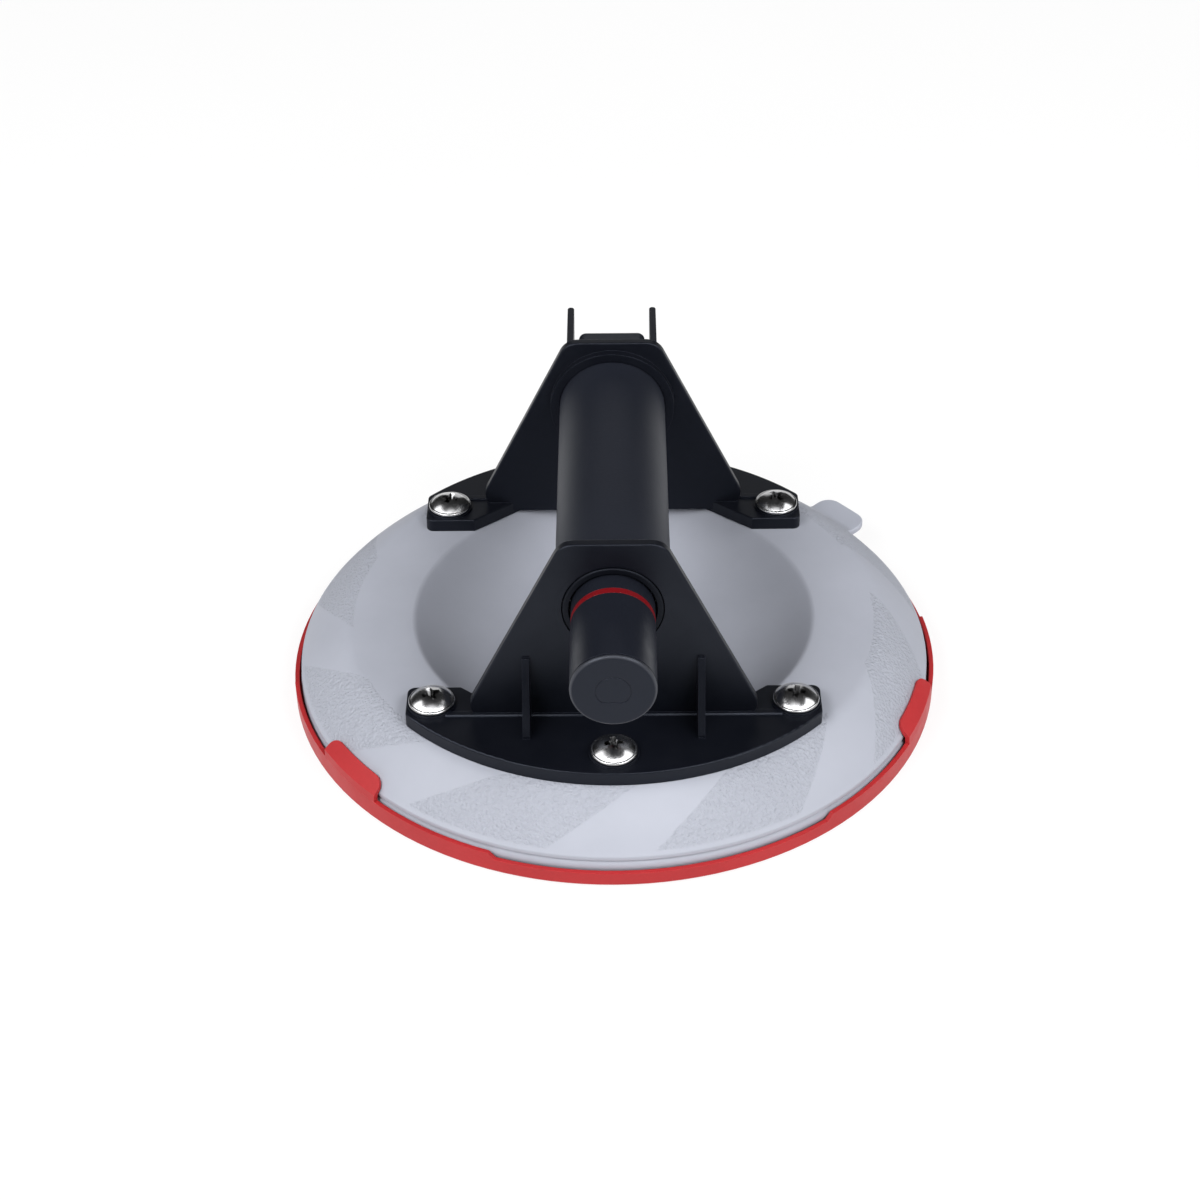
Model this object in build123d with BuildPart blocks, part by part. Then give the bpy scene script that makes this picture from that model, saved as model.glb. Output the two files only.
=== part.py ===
from build123d import *
import math
import os

# Pump-action vacuum lifter with an 8 inch rubber pad, standing in its clip-on pad cover.
# Millimetres. The pad's axis is Z, with z = 0 at the cover's underside.
# The handle lies along Y, and the pump's plunger comes out of its front end, towards -Y.

# --- driving dimensions -------------------------------------------------------------------
PAD_RIM_R = 101.7          # the pad is nominally 8 inches (203 mm) across
LIP_R = 102.0
SHOULDER_R = 86.3          # outer edge of the pad's flat ring
DISH_R = 64.4              # edge of the central dish
DISH_DEPTH = 12.0
DISH_POWER = 4.5           # the dish is level in the middle and steepens to its edge
PAD_TOP = 23.3             # height of the flat ring
PAD_WALL = 5.3             # thickness of the flat ring
RIM_TOP = 9.6
SKIRT_BULGE = 1.0          # how far the skirt's middle stands out from a straight cone
GROOVE_Z = 7.9             # fine groove round the rim
SEALING_GROOVES = (92.0, 95.0, 98.0)
UNDERCUT_R = 84.9          # inside of the lip, under the flat ring

COVER_R = 104.1
COVER_WALL = 1.4
COVER_FLOOR = 1.7
WALL_LOW = 5.3             # wall height in the cut-down stretches
WALL_HIGH = 7.3
LOW_HALF_ANGLE = 29.0      # half of each cut-down stretch, degrees
LOW_CENTRES = (-81.0, 39.0, 159.0)
CLIP_CENTRES = (-141.9, -20.6, 98.8)
CLIP_ANGLE = 15.2
TAB_ANGLE = 41.2           # bearing of the pad's release tab
TAB_REACH = 109.8          # radius of its outer end
TAB_WIDTH = 20.0
TAB_THICK = 2.2

HANDLE_Z = 67.4            # height of the handle's axis
TUBE_R = 17.35
TUBE_BORE_R = 15.1
PLATE_IN = 54.7            # inner and outer faces of the upright plates, from the middle
PLATE_OUT = 57.7
PLATE_TOP = 90.5
PLATE_FOOT = 24.6
PLATE_TOP_HALF = 15.1      # half widths of the plate's straight sides, at its top and foot
PLATE_FOOT_HALF = 47.4
FLANGE_R = {-1: 85.5, 1: 86.5}     # outer radius of the front and rear flange
FLANGE_TOP = 27.7
BOSS_TOP = 28.3
EAR_X = 63.3               # outer side of the ears that hold the side screws
EAR_Y = 44.4               # their inner edge
SIDE_SCREW = (55.5, 52.3)
MIDDLE_SCREW = (0.0, 75.9)

PLUNGER_R = 12.45
PLUNGER_END = -95.8        # front face of the plunger at rest
BARREL_R = 15.0
BARREL_BORE_R = 14.0
BARREL_END = 44.0
BUSH = (-49.5, -38.0)      # guide bush, front and rear
PISTON = (-37.8, -27.8)
INDICATOR = (-66.2, -63.8)
PISTON_GROOVE = (-34.8, -31.6)
PLUG = (34.0, 44.0)        # barrel end plug
PLUG_GROOVE = (38.0, 40.6)

SCREW_R = 2.9
HEAD_R = 7.1
HEAD_HEIGHT = 3.8
BOSS_R = 7.5               # low boss under each screw head
SCREW_LENGTH = 15.8
RING_BOTTOM = 15.0         # underside of the backing ring
PORT_Y = 61.5              # air port through the pad

os.makedirs("parts", exist_ok=True)


def save(piece, name):
    """Label a finished piece and write it under its node's name."""
    piece.part.label = name
    export_step(piece.part, f"parts/{name}.step")


def across(y):
    """The upright plane square to the handle at y; sketches on it extrude towards -Y."""
    return Plane.XZ.offset(-y)


def turned(outer_r, front, rear, inner_r=0.0):
    """A plain round bar or sleeve on the handle's axis, from front to rear."""
    with BuildPart() as piece:
        with BuildSketch(across(rear)):
            with Locations((0, HANDLE_Z)):
                Circle(outer_r)
                if inner_r:
                    Circle(inner_r, mode=Mode.SUBTRACT)
        extrude(amount=rear - front)
    return piece


def bore(hole_r, front, rear):
    """Cut a round hole on the handle's axis out of the part being built."""
    with Locations(Plane(origin=(0, front, HANDLE_Z), z_dir=(0, 1, 0))):
        Cylinder(hole_r, rear - front, align=(Align.CENTER, Align.CENTER, Align.MIN), mode=Mode.SUBTRACT)


def bearing(angle, radius):
    """The point at that angle and radius about the pad's axis."""
    return (radius * math.cos(math.radians(angle)), radius * math.sin(math.radians(angle)))


def screw_places(side):
    """The three screws of one bracket: side is -1 at the front and 1 at the rear."""
    x, y = SIDE_SCREW
    return [(-x, side * y), (x, side * y), (MIDDLE_SCREW[0], side * MIDDLE_SCREW[1])]


# --- protective cover: a shallow dish with a stepped wall and three clips ------------------
with BuildPart() as protective_cover:
    with BuildSketch(Plane.XZ):
        with BuildLine():
            Polyline(
                (0, 0), (COVER_R - 1.0, 0), (COVER_R, 1.0), (COVER_R, WALL_HIGH),
                (COVER_R - COVER_WALL, WALL_HIGH), (COVER_R - COVER_WALL, COVER_FLOOR),
                (0, COVER_FLOOR), (0, 0),
            )
        make_face()
    revolve(axis=Axis.Z)
    # the wall is cut down between the clips, with sloping ends
    for centre in LOW_CENTRES:
        with BuildSketch(Plane.XY.offset(WALL_LOW)):
            with BuildLine():
                Polyline(
                    (0, 0), bearing(centre - LOW_HALF_ANGLE, 130.0), bearing(centre, 150.0),
                    bearing(centre + LOW_HALF_ANGLE, 130.0), (0, 0),
                )
            make_face()
        extrude(amount=WALL_HIGH - WALL_LOW + 0.5, taper=-45, mode=Mode.SUBTRACT)
save(protective_cover, "protective_cover")

CLIP_FOOT = (COVER_R - COVER_WALL, WALL_HIGH)
CLIP_BEND = (COVER_R - COVER_WALL - 0.2, 9.4)
CLIP_TIP = (99.1, 12.9)
CLIP_CORNER_R = 4.0
with BuildPart() as cover_clips:
    for centre in CLIP_CENTRES:
        radial = Plane.XZ.rotated((0, 0, centre - CLIP_ANGLE / 2))
        with BuildSketch(radial):
            with BuildLine():
                Polyline(
                    CLIP_FOOT, CLIP_BEND, CLIP_TIP,
                    (CLIP_TIP[0] + 0.7, CLIP_TIP[1] + 0.8),
                    (CLIP_BEND[0] + COVER_WALL, CLIP_BEND[1] + 0.6),
                    (COVER_R, WALL_HIGH), CLIP_FOOT,
                )
            make_face()
        revolve(axis=Axis.Z, revolution_arc=CLIP_ANGLE)
    tip_corners = cover_clips.edges().filter_by(lambda e: e.length < 2.0 and e.center().Z > CLIP_TIP[1])
    fillet(tip_corners, CLIP_CORNER_R)
save(cover_clips, "cover_clips")

# --- suction pad ---------------------------------------------------------------------------
RING_TOP = PAD_TOP - PAD_WALL


def dish_curve(edge_r, edge_z, depth):
    """A hollow's section, from the axis out to its edge."""
    shares = (0, 0.2, 0.4, 0.6, 0.75, 0.88, 1)
    points = [(edge_r * share, edge_z - depth * (1 - share ** DISH_POWER)) for share in shares]
    return Spline(*points, tangents=((1, 0), (1, DISH_POWER * depth / edge_r)))


with BuildPart() as suction_pad:
    with BuildSketch(Plane.XZ):
        with BuildLine():
            dish_curve(DISH_R, PAD_TOP, DISH_DEPTH)
            Line((DISH_R, PAD_TOP), (SHOULDER_R, PAD_TOP))
            SagittaArc((SHOULDER_R, PAD_TOP), (PAD_RIM_R - 0.5, RIM_TOP + 0.45), -SKIRT_BULGE)
            RadiusArc((PAD_RIM_R - 0.5, RIM_TOP + 0.45), (PAD_RIM_R, RIM_TOP - 0.4), 0.9)
            Polyline(
                (PAD_RIM_R, RIM_TOP - 0.4), (PAD_RIM_R, GROOVE_Z + 0.35),
                (PAD_RIM_R - 0.7, GROOVE_Z), (PAD_RIM_R, GROOVE_Z - 0.35),
            )
            ThreePointArc((PAD_RIM_R, GROOVE_Z - 0.35), (LIP_R, 5.6), (LIP_R - 0.6, 2.6))
            Polyline(
                (LIP_R - 0.6, 2.6), (LIP_R - 1.6, COVER_FLOOR), (89.0, COVER_FLOOR),
                (87.0, 3.4), (UNDERCUT_R, RING_TOP - 3.0), (UNDERCUT_R, RING_TOP),
                (DISH_R - 2.0, RING_TOP),
            )
            dish_curve(DISH_R - 2.0, RING_TOP, DISH_DEPTH - 1.0)
            Line((0, RING_TOP - DISH_DEPTH + 1.0), (0, PAD_TOP - DISH_DEPTH))
        make_face()
    revolve(axis=Axis.Z)
    # release tab at the rim
    with BuildSketch(Plane.XY.offset(RIM_TOP - TAB_THICK / 2).rotated((0, 0, TAB_ANGLE))):
        with Locations((TAB_REACH, 0)):
            RectangleRounded(14.0, TAB_WIDTH, 5.5, align=(Align.MAX, Align.CENTER))
    extrude(amount=TAB_THICK)
    # boss for the air port, under the rear bracket
    with BuildSketch(Plane.XY.offset(RING_TOP - 1.0)):
        with Locations((0, PORT_Y)):
            Circle(4.5)
    extrude(amount=PAD_TOP - RING_TOP + 1.0)
    with BuildSketch(Plane.XY.offset(RING_TOP - 1.0)):
        with Locations((0, PORT_Y)):
            Circle(4.7)
    extrude(amount=-5.0, mode=Mode.SUBTRACT)
    # screw holes and the port's hole
    with BuildSketch(Plane.XY):
        with Locations(*screw_places(-1), *screw_places(1)):
            Circle(SCREW_R + 0.3)
        with Locations((0, PORT_Y)):
            Circle(2.6)
    extrude(amount=PAD_TOP + 1.0, mode=Mode.SUBTRACT)
    # fine sealing grooves in the underside of the lip
    for groove_r in SEALING_GROOVES:
        with BuildSketch(Plane.XZ):
            with Locations((groove_r, COVER_FLOOR)):
                Rectangle(0.9, 1.2)
        revolve(axis=Axis.Z, mode=Mode.SUBTRACT)
save(suction_pad, "suction_pad")

# --- backing ring and its blind threaded bushes --------------------------------------------
INSERT_R = 4.2
with BuildPart() as backing_ring:
    with BuildSketch(Plane.XY.offset(RING_BOTTOM)):
        Circle(UNDERCUT_R - 0.3)
        Circle(DISH_R + 2.1, mode=Mode.SUBTRACT)
        with Locations(*screw_places(-1), *screw_places(1)):
            Circle(INSERT_R, mode=Mode.SUBTRACT)
    extrude(amount=RING_TOP - RING_BOTTOM)
save(backing_ring, "backing_ring")

with BuildPart() as threaded_inserts:
    with BuildSketch(Plane.XY.offset(RING_BOTTOM - 4.2)):
        with Locations(*screw_places(-1), *screw_places(1)):
            Circle(INSERT_R)
    extrude(amount=RING_TOP - RING_BOTTOM + 4.2)
    with BuildSketch(Plane.XY.offset(RING_BOTTOM - 1.5)):
        with Locations(*screw_places(-1), *screw_places(1)):
            RegularPolygon(6.2, 6)
    extrude(amount=1.5)
    with BuildSketch(Plane.XY.offset(RING_TOP)):
        with Locations(*screw_places(-1), *screw_places(1)):
            Circle(SCREW_R + 0.05)
    extrude(amount=-(RING_TOP - RING_BOTTOM + 3.0), mode=Mode.SUBTRACT)
save(threaded_inserts, "threaded_inserts")

# --- pan-head cross-recess screws ----------------------------------------------------------
HEAD_RIM = 0.5
with BuildPart() as pan_screw:
    with BuildSketch(Plane.XZ):
        with BuildLine():
            Polyline((0, 0), (HEAD_R - 0.2, 0), (HEAD_R, 0.2), (HEAD_R, HEAD_RIM))
            TangentArc((0, HEAD_HEIGHT), (HEAD_R, HEAD_RIM), tangent=(1, 0))
            Line((0, HEAD_HEIGHT), (0, 0))
        make_face()
    revolve(axis=Axis.Z)
    with BuildSketch(Plane.XY):
        Circle(SCREW_R)
    extrude(amount=-SCREW_LENGTH)
    with BuildSketch(Plane.XY.offset(1.2)):
        Rectangle(0.9, 4.6)
        Rectangle(4.6, 0.9)
    extrude(amount=HEAD_HEIGHT, taper=-14, mode=Mode.SUBTRACT)

for bracket_name, side in (("front_bracket", -1), ("rear_bracket", 1)):
    with BuildPart() as bracket_screws:
        for place, spin in zip(screw_places(side), (20, -15, 5)):
            with Locations(Location((*place, BOSS_TOP), (0, 0, spin * side))):
                add(pan_screw.part)
    save(bracket_screws, f"{bracket_name}_screws")


# --- brackets: a flange that lies on the pad, an upright plate and gusset ribs -------------
FOOT_STEP_HALF = 51.0
FOOT_STEP_TOP = 28.2       # a little under the bosses, because it runs below two screw heads
RIB_X = 26.2
RIB_TOP = 49.6
RIB_FAR = 69.4             # where the ribs run out on the flange
SOCKET_R = 20.4


def bracket(side):
    """One bracket without its own holes: side is -1 at the front and 1 at the rear."""
    flange_r = FLANGE_R[side]
    arc_y = math.sqrt(flange_r ** 2 - EAR_X ** 2)
    with BuildPart() as body:
        with BuildSketch(Plane.XY.offset(PAD_TOP)) as flange:
            with BuildLine():
                ThreePointArc((EAR_X, side * arc_y), (0, side * flange_r), (-EAR_X, side * arc_y))
                Polyline(
                    (-EAR_X, side * arc_y), (-EAR_X, side * EAR_Y), (-47.0, side * EAR_Y),
                    (-31.0, side * 57.2), (31.0, side * 57.2), (47.0, side * EAR_Y),
                    (EAR_X, side * EAR_Y), (EAR_X, side * arc_y),
                )
            make_face()
            corners = [v for v in flange.vertices() if abs(v.X) > EAR_X - 0.1]
            fillet(corners, 2.5)
        extrude(amount=FLANGE_TOP - PAD_TOP)
        fillet(body.faces().sort_by(Axis.Z)[-1].edges(), 0.5)
        # low bosses under the screw heads
        with BuildSketch(Plane.XY.offset(FLANGE_TOP - 1.0)):
            with Locations(*screw_places(side)):
                Circle(BOSS_R)
        extrude(amount=BOSS_TOP - FLANGE_TOP + 1.0)
        # upright plate
        with BuildSketch(across(PLATE_OUT if side > 0 else -PLATE_IN)) as plate:
            with BuildLine():
                Polyline(
                    (-PLATE_FOOT_HALF, PLATE_FOOT), (-PLATE_TOP_HALF, PLATE_TOP),
                    (PLATE_TOP_HALF, PLATE_TOP), (PLATE_FOOT_HALF, PLATE_FOOT),
                    (-PLATE_FOOT_HALF, PLATE_FOOT),
                )
            make_face()
            fillet(plate.vertices().group_by(Axis.Z)[-1], 6.5)
        extrude(amount=PLATE_OUT - PLATE_IN)
        outline = body.edges().filter_by(lambda e: e.center().Z > 40 and abs((e % 0.5).Y) < 0.5)
        fillet(outline, 0.5)
        # narrow step along the plate's foot, bevelled along its outer edge
        step_in = side * (PLATE_OUT - 1.0)
        step_out = side * (PLATE_OUT + 1.2)
        with BuildSketch(Plane.YZ.offset(-FOOT_STEP_HALF)):
            with BuildLine():
                Polyline(
                    (step_in, FLANGE_TOP - 1.0), (step_in, FOOT_STEP_TOP),
                    (step_out - side * 0.4, FOOT_STEP_TOP), (step_out, FOOT_STEP_TOP - 0.35),
                    (step_out, FLANGE_TOP - 1.0), (step_in, FLANGE_TOP - 1.0),
                )
            make_face()
        extrude(amount=2 * FOOT_STEP_HALF)
        # two gusset ribs on the outer side
        for rib_x in (-RIB_X, RIB_X):
            with BuildSketch(Plane.YZ.offset(rib_x - 1.1)):
                with BuildLine():
                    Polyline(
                        (side * (PLATE_OUT - 0.5), FLANGE_TOP - 0.5),
                        (side * (PLATE_OUT - 0.5), RIB_TOP), (side * (PLATE_OUT + 0.9), RIB_TOP),
                        (side * RIB_FAR, FLANGE_TOP + 0.7), (side * RIB_FAR, FLANGE_TOP - 0.5),
                        (side * (PLATE_OUT - 0.5), FLANGE_TOP - 0.5),
                    )
                make_face()
            extrude(amount=2.2)
        # socket ring that the tube's end stands in
        ring_far = side * (PLATE_IN - 2.6)
        ring_near = side * (PLATE_IN + 0.3)
        with BuildSketch(across(max(ring_near, ring_far))):
            with Locations((0, HANDLE_Z)):
                Circle(SOCKET_R)
                Circle(TUBE_R + 0.15, mode=Mode.SUBTRACT)
        extrude(amount=abs(ring_near - ring_far))
        # clear the screws
        with BuildSketch(Plane.XY):
            with Locations(*screw_places(side)):
                Circle(SCREW_R + 0.3)
        extrude(amount=BOSS_TOP + 1.0, mode=Mode.SUBTRACT)
    return body


GLAND_HOLE_R = 15.2
with BuildPart() as front_bracket:
    add(bracket(-1).part)
    bore(GLAND_HOLE_R, -PLATE_OUT - 1.0, -PLATE_IN + 0.01)
save(front_bracket, "front_bracket")

SPIGOT_R = 4.8
DUCT_W = 21.6
DUCT_TOP = 89.4
GASKET = 0.8
DUCT_OUT = PLATE_OUT + 6.0
DUCT_SCREWS = ((-8.0, 82.0), (8.0, 82.0), (-8.0, 38.0), (8.0, 38.0))
DUCT_HOLE_END = PLATE_IN + 0.8   # the screws' holes are blind
FIN_X = 13.6
FIN_THICK = 2.2
FIN_TOP = 89.8
FIN_FAR = 79.6
FIN_FOOT = 56.0
with BuildPart() as fin:
    with BuildSketch(Plane.YZ.offset(-FIN_THICK / 2)):
        with BuildLine():
            Polyline(
                (PLATE_OUT - 0.5, FIN_FOOT), (PLATE_OUT - 0.5, FIN_TOP), (FIN_FAR, FIN_TOP),
                (FIN_FAR, FIN_TOP - 4.6), (PLATE_OUT + 0.5, FIN_FOOT), (PLATE_OUT - 0.5, FIN_FOOT),
            )
        make_face()
    extrude(amount=FIN_THICK)
    # its far end is fully rounded, and its top softened
    side_edges = fin.edges().filter_by(lambda e: abs((e % 0.5).X) < 0.5)
    far_edges = side_edges.filter_by(lambda e: e.center().Y > 66 and e.center().Z < FIN_TOP)
    fillet(far_edges, FIN_THICK / 2 - 0.05)
    top_edges = fin.faces().sort_by(Axis.Z)[-1].edges()
    fillet(top_edges.filter_by(lambda e: e.center().Y > PLATE_OUT), 0.4)

with BuildPart() as rear_bracket:
    add(bracket(1).part)
    bore(SPIGOT_R + 0.1, PLATE_IN - 1.0, PLATE_OUT + 1.0)
    # the two fins that stand either side of the duct
    with Locations((-FIN_X, 0, 0), (FIN_X, 0, 0)):
        add(fin.part)
    # air port down through the flange, and holes for the duct's screws
    with BuildSketch(Plane.XY):
        with Locations((0, PORT_Y)):
            Circle(2.6)
    extrude(amount=FLANGE_TOP + 2.0, mode=Mode.SUBTRACT)
    with BuildSketch(across(PLATE_OUT)):
        with Locations(*DUCT_SCREWS):
            Circle(1.3)
    extrude(amount=PLATE_OUT - DUCT_HOLE_END, mode=Mode.SUBTRACT)
save(rear_bracket, "rear_bracket")


# --- air duct on the back of the rear bracket ----------------------------------------------
def duct_outline():
    """The outline that the duct cover and its gasket share, in the current sketch."""
    with Locations((0, (DUCT_TOP + FLANGE_TOP + 0.8) / 2)):
        RectangleRounded(DUCT_W, DUCT_TOP - FLANGE_TOP - 0.8, 2.4)
    with Locations(*DUCT_SCREWS):
        Circle(1.4, mode=Mode.SUBTRACT)


with BuildPart() as duct_gasket:
    with BuildSketch(across(PLATE_OUT + GASKET)):
        duct_outline()
        with Locations((0, HANDLE_Z)):
            Circle(SPIGOT_R + 0.1, mode=Mode.SUBTRACT)
        with Locations((0, 47.0)):
            Rectangle(5.0, 46.0, mode=Mode.SUBTRACT)
    extrude(amount=GASKET)
    split(bisect_by=Plane.XY.offset(FLANGE_TOP + 0.9), keep=Keep.TOP)
save(duct_gasket, "duct_gasket")

with BuildPart() as duct_cover:
    with BuildSketch(across(DUCT_OUT)):
        duct_outline()
    extrude(amount=DUCT_OUT - PLATE_OUT - GASKET)
    with BuildSketch(across(DUCT_OUT - 1.6)):
        with Locations((0, HANDLE_Z)):
            Circle(6.0)
        with Locations((0, 45.0)):
            Rectangle(5.0, 46.0)
    extrude(amount=DUCT_OUT - 1.6 - PLATE_OUT - GASKET, mode=Mode.SUBTRACT)
    fillet(duct_cover.faces().sort_by(Axis.Y)[-1].outer_wire().edges(), 0.8)
save(duct_cover, "duct_cover")

with BuildPart() as duct_screws:
    with BuildSketch(across(DUCT_OUT + 1.6)):
        with Locations(*DUCT_SCREWS):
            Circle(2.4)
    extrude(amount=1.6)
    fillet(duct_screws.faces().sort_by(Axis.Y)[-4:].edges(), 0.6)
    with BuildSketch(across(DUCT_OUT)):
        with Locations(*DUCT_SCREWS):
            Circle(1.2)
    extrude(amount=DUCT_OUT - DUCT_HOLE_END - 0.2)
    with BuildSketch(across(DUCT_OUT + 1.6)):
        with Locations(*DUCT_SCREWS):
            Rectangle(0.6, 2.8)
            Rectangle(2.8, 0.6)
    extrude(amount=1.0, mode=Mode.SUBTRACT)
save(duct_screws, "duct_screws")

# --- port through the pad ------------------------------------------------------------------
with BuildPart() as port_nozzle:
    with BuildSketch(Plane.XY.offset(RING_TOP - 1.0)):
        with Locations((0, PORT_Y)):
            Circle(2.55)
    extrude(amount=FLANGE_TOP - RING_TOP + 1.2)
    with BuildSketch(Plane.XY.offset(RING_TOP - 2.6)):
        with Locations((0, PORT_Y)):
            Circle(4.4)
    extrude(amount=1.6)
    with BuildSketch(Plane.XY.offset(RING_TOP - 3.0)):
        with Locations((0, PORT_Y)):
            Circle(1.3)
    extrude(amount=14.0, mode=Mode.SUBTRACT)
save(port_nozzle, "port_nozzle")

with BuildPart() as air_filter:
    with BuildSketch(Plane.XY.offset(RING_TOP - 3.8)):
        with Locations((0, PORT_Y)):
            Circle(3.8)
    extrude(amount=1.2)
save(air_filter, "air_filter")

# --- handle tube and pump barrel -----------------------------------------------------------
handle_tube = turned(TUBE_R, -PLATE_IN, PLATE_IN, TUBE_BORE_R)
save(handle_tube, "handle_tube")

pump_barrel = turned(BARREL_R, -PLATE_IN, BARREL_END, BARREL_BORE_R)
save(pump_barrel, "pump_barrel")

with BuildPart() as barrel_gland:
    add(turned(GLAND_HOLE_R - 0.3, -PLATE_OUT - 0.5, -PLATE_IN - 0.1).part)
    fillet(barrel_gland.faces().sort_by(Axis.Y)[0].edges(), 0.5)
    add(turned(BARREL_BORE_R - 0.1, -PLATE_IN - 0.1, BUSH[0] - 0.2).part)
    bore(PLUNGER_R + 0.65, -PLATE_OUT - 1.0, BUSH[0])
save(barrel_gland, "barrel_gland")

guide_bush = turned(BARREL_BORE_R - 0.05, BUSH[0], BUSH[1], PLUNGER_R + 0.05)
save(guide_bush, "guide_bush")

with BuildPart() as barrel_end_plug:
    add(turned(BARREL_BORE_R - 0.05, PLUG[0], PLUG[1]).part)
    add(turned(SPIGOT_R, PLUG[1], PLATE_OUT).part)
    bore(3.4, PLUG[0] + 6.0, PLATE_OUT)
    bore(1.5, PLUG[0], PLUG[0] + 6.0)
    # groove for the O-ring
    with BuildSketch(across(PLUG_GROOVE[1])):
        with Locations((0, HANDLE_Z)):
            Circle(BARREL_BORE_R)
            Circle(11.9, mode=Mode.SUBTRACT)
    extrude(amount=PLUG_GROOVE[1] - PLUG_GROOVE[0], mode=Mode.SUBTRACT)
    # small air holes under the valve's cap
    with BuildSketch(across(PLUG[0] + 6.0)):
        with Locations((0, HANDLE_Z)):
            with PolarLocations(2.7, 4):
                Circle(0.6)
    extrude(amount=6.0, mode=Mode.SUBTRACT)
save(barrel_end_plug, "barrel_end_plug")


def o_ring(middle_y, middle_r, wire_r):
    """A round-section ring about the handle's axis."""
    with BuildPart() as ring:
        with BuildSketch(Plane.YZ):
            with Locations((middle_y, HANDLE_Z + middle_r)):
                Circle(wire_r)
        revolve(axis=Axis((0, 0, HANDLE_Z), (0, 1, 0)))
    return ring


end_plug_o_ring = o_ring(sum(PLUG_GROOVE) / 2, 12.95, 1.02)
save(end_plug_o_ring, "end_plug_o_ring")


def umbrella_valve(seat_y, stem):
    """A rubber mushroom whose cap lies against seat_y on its front side, with a stem behind."""
    with BuildPart() as valve:
        with BuildSketch(Plane.YZ):
            with BuildLine():
                Polyline(
                    (seat_y, HANDLE_Z), (seat_y - 1.5, HANDLE_Z), (seat_y - 1.3, HANDLE_Z + 3.0),
                    (seat_y - 0.5, HANDLE_Z + 5.4), (seat_y - 0.1, HANDLE_Z + 5.4),
                    (seat_y - 0.1, HANDLE_Z + 1.4), (seat_y + stem, HANDLE_Z + 1.4),
                    (seat_y + stem + 0.2, HANDLE_Z + 1.9), (seat_y + stem + 1.8, HANDLE_Z + 0.9),
                    (seat_y + stem + 1.8, HANDLE_Z), (seat_y, HANDLE_Z),
                )
            make_face()
        revolve(axis=Axis((0, 0, HANDLE_Z), (0, 1, 0)))
    return valve


inlet_valve = umbrella_valve(PLUG[0], 6.1)
save(inlet_valve, "inlet_valve")

# --- plunger: everything that slides -------------------------------------------------------
CAP_LENGTH = 1.6
SPRING_SEAT = 2.6          # depth of the spring's seat in the piston
JOINT_GROOVE = 0.3         # width of the fine groove where the cap meets the sleeve
with BuildPart() as plunger_sleeve:
    add(turned(PLUNGER_R, PLUNGER_END + CAP_LENGTH, PISTON[0], PLUNGER_R - 1.75).part)
    with BuildSketch(across(INDICATOR[1])):
        with Locations((0, HANDLE_Z)):
            Circle(PLUNGER_R + 1.0)
            Circle(PLUNGER_R - 0.6, mode=Mode.SUBTRACT)
    extrude(amount=INDICATOR[1] - INDICATOR[0], mode=Mode.SUBTRACT)
save(plunger_sleeve, "plunger_sleeve")

vacuum_indicator_ring = turned(PLUNGER_R - 0.01, INDICATOR[0], INDICATOR[1], PLUNGER_R - 0.58)
save(vacuum_indicator_ring, "vacuum_indicator_ring")


def end_mark(radius):
    """A flat-footed disc that reaches a little way into the plunger's front face."""
    with BuildPart() as mark:
        with BuildSketch(across(PLUNGER_END + MARK_DEPTH)):
            with Locations((0, HANDLE_Z)):
                Circle(radius)
            with Locations((0, HANDLE_Z + radius * 0.2)):
                Rectangle(3 * radius, 2 * radius, mode=Mode.INTERSECT)
        extrude(amount=1.0)
    return mark.part


MARK_R = 5.2
MARK_LINE = 0.35
MARK_DEPTH = 0.12
mark_line = end_mark(MARK_R) - end_mark(MARK_R - MARK_LINE)
with BuildPart() as plunger_cap:
    add(turned(PLUNGER_R, PLUNGER_END, PLUNGER_END + CAP_LENGTH - JOINT_GROOVE).part)
    fillet(plunger_cap.faces().sort_by(Axis.Y)[0].edges(), 1.1)
    add(turned(PLUNGER_R - 0.25, PLUNGER_END + CAP_LENGTH - JOINT_GROOVE, PLUNGER_END + CAP_LENGTH).part)
    add(turned(PLUNGER_R - 1.8, PLUNGER_END + CAP_LENGTH, PLUNGER_END + 10.0, 8.6).part)
    add(mark_line, mode=Mode.SUBTRACT)
save(plunger_cap, "plunger_cap")

with BuildPart() as piston_head:
    add(turned(BARREL_BORE_R - 0.4, PISTON[0], PISTON[1]).part)
    add(turned(PLUNGER_R - 1.8, PISTON[0] - 6.0, PISTON[0], 7.0).part)
    bore(1.5, PISTON[0], PISTON[1])
    # groove for the seal, and a seat for the spring
    with BuildSketch(across(PISTON_GROOVE[1])):
        with Locations((0, HANDLE_Z)):
            Circle(BARREL_BORE_R)
            Circle(11.4, mode=Mode.SUBTRACT)
    extrude(amount=PISTON_GROOVE[1] - PISTON_GROOVE[0], mode=Mode.SUBTRACT)
    with BuildSketch(across(PISTON[1])):
        with Locations((0, HANDLE_Z)):
            Circle(10.8)
            Circle(7.6, mode=Mode.SUBTRACT)
    extrude(amount=SPRING_SEAT, mode=Mode.SUBTRACT)
    with BuildSketch(across(PISTON[1])):
        with Locations((0, HANDLE_Z)):
            with PolarLocations(3.6, 4):
                Circle(0.8)
    extrude(amount=PISTON[1] - PISTON[0], mode=Mode.SUBTRACT)
save(piston_head, "piston_head")

piston_seal = turned(BARREL_BORE_R - 0.06, PISTON_GROOVE[0] + 0.2, PISTON_GROOVE[1] - 0.2, 11.45)
save(piston_seal, "piston_seal")

exhaust_valve = umbrella_valve(PISTON[0], PISTON[1] - PISTON[0] + 0.1)
save(exhaust_valve, "exhaust_valve")

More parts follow.
